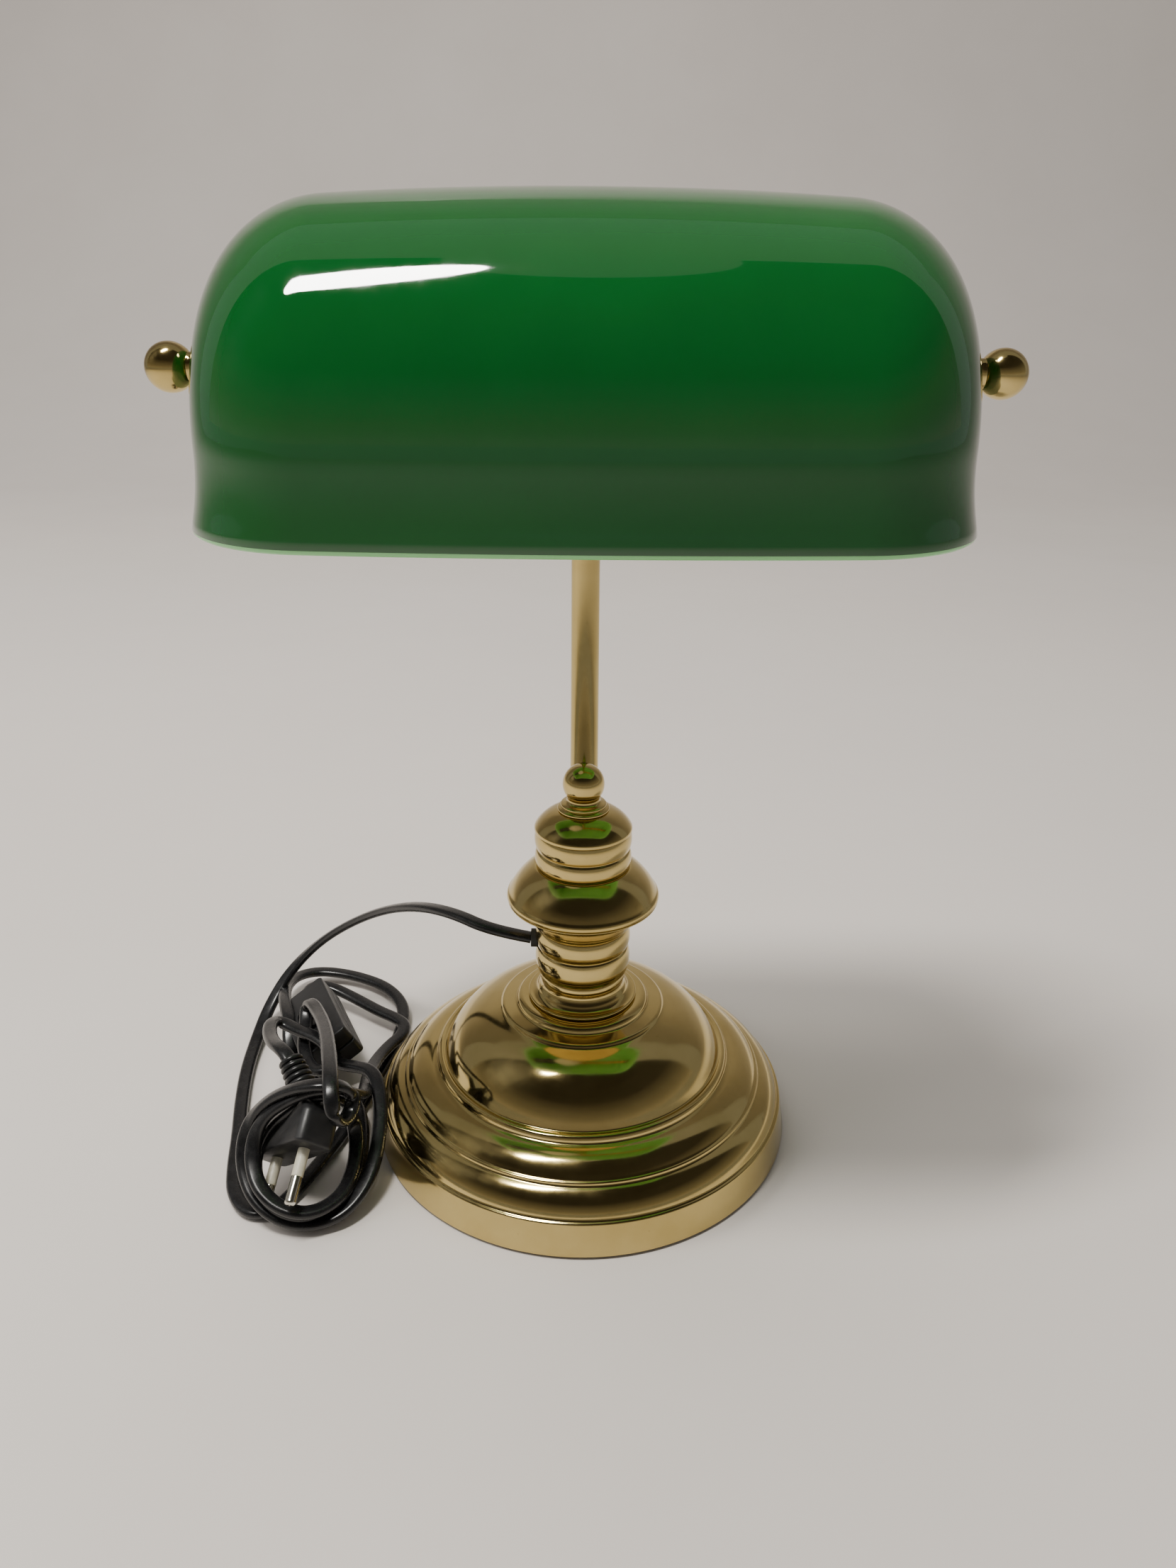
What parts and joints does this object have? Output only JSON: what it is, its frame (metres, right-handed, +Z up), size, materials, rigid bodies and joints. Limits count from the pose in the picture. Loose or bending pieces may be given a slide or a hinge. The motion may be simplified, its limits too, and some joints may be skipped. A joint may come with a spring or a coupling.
{
  "type": "banker desk lamp",
  "caption": "Desk lamp with a stepped round brass base, turned column and bent arm, a long green glass shade that tilts on two ball knobs, and a black mains lead with switch and plug.",
  "frame": {"origin": "on the table, under the middle of the round base", "axes": "+Z up the column, +X along the shade to the lamp's right, -Y towards the user"},
  "size_m": [0.2646, 0.154, 0.3184],
  "materials": {
    "brass": "polished and lacquered, hand worn",
    "steel": "zinc plated",
    "iron": "rough cast",
    "felt": "pressed felt",
    "green_glass": "cased glass, glossy green over opal white",
    "bulb_glass": "frosted",
    "tin": "nickel plated",
    "rubber": "matt",
    "holder_plastic": "moulded, glossy",
    "ceramic": "unglazed porcelain",
    "cable": "smooth flexible sheath",
    "black_plastic": "fine moulded texture"
  },
  "bodies": {
    "lamp": {"arm_hub": "brass", "arm_lead": "cable", "arm_socket": "steel", "arm_tube": "brass", "base_plate": "steel", "base_shell": "brass", "base_weight": "iron", "bulb_cap": "tin", "bulb_glass": "bulb_glass", "bulb_tip_contact": "tin", "cap_dome": "brass", "cord_bush": "rubber", "cord_coil": "cable", "cord_loops": "cable", "cord_run": "cable", "felt_pad": "felt", "finial": "brass", "finial_stud": "steel", "holder_contact": "tin", "holder_insert": "ceramic", "holder_lead": "cable", "holder_ring": "holder_plastic", "holder_screw": "steel", "holder_shell": "holder_plastic", "holder_sleeve": "tin", "hub_screw": "steel", "lower_collar": "brass", "lower_cone": "brass", "neck_ring": "brass", "plug_body": "black_plastic", "plug_pins": "tin", "plug_relief": "cable", "rocker_pin": "steel", "shade_bracket": "steel", "shade_studs": "steel", "stem_nut": "steel", "stem_rod": "steel", "stem_washer": "steel", "stud_nuts": "steel", "switch_lower": "black_plastic", "switch_screws": "steel", "switch_upper": "black_plastic", "upper_collar": "brass", "upper_cone": "brass"},
    "shade": {"glass_shade": "green_glass", "outer_washers": "rubber", "inner_washers": "rubber"},
    "knob_left": {"knob_left": "brass"},
    "knob_right": {"knob_right": "brass"},
    "rocker": {"switch_rocker": "black_plastic"}
  },
  "joints": [
    {"name": "shade_tilt", "type": "hinge", "parent": "lamp", "child": "shade", "pos_m": [0, -0.0082, 0.271], "axis": [1, 0, 0], "range_deg": [-12, 25]},
    {"name": "knob_left_turn", "type": "hinge", "parent": "lamp", "child": "knob_left", "pos_m": [-0.12, -0.0082, 0.271], "axis": [-1, 0, 0], "continuous": true},
    {"name": "knob_right_turn", "type": "hinge", "parent": "lamp", "child": "knob_right", "pos_m": [0.12, -0.0082, 0.271], "axis": [1, 0, 0], "continuous": true},
    {"name": "rocker_press", "type": "hinge", "parent": "lamp", "child": "rocker", "pos_m": [-0.1074, 0.02871, 0.01746], "axis": [0.7751, 0.3951, 0.493], "range_deg": [0, 12]}
  ]
}
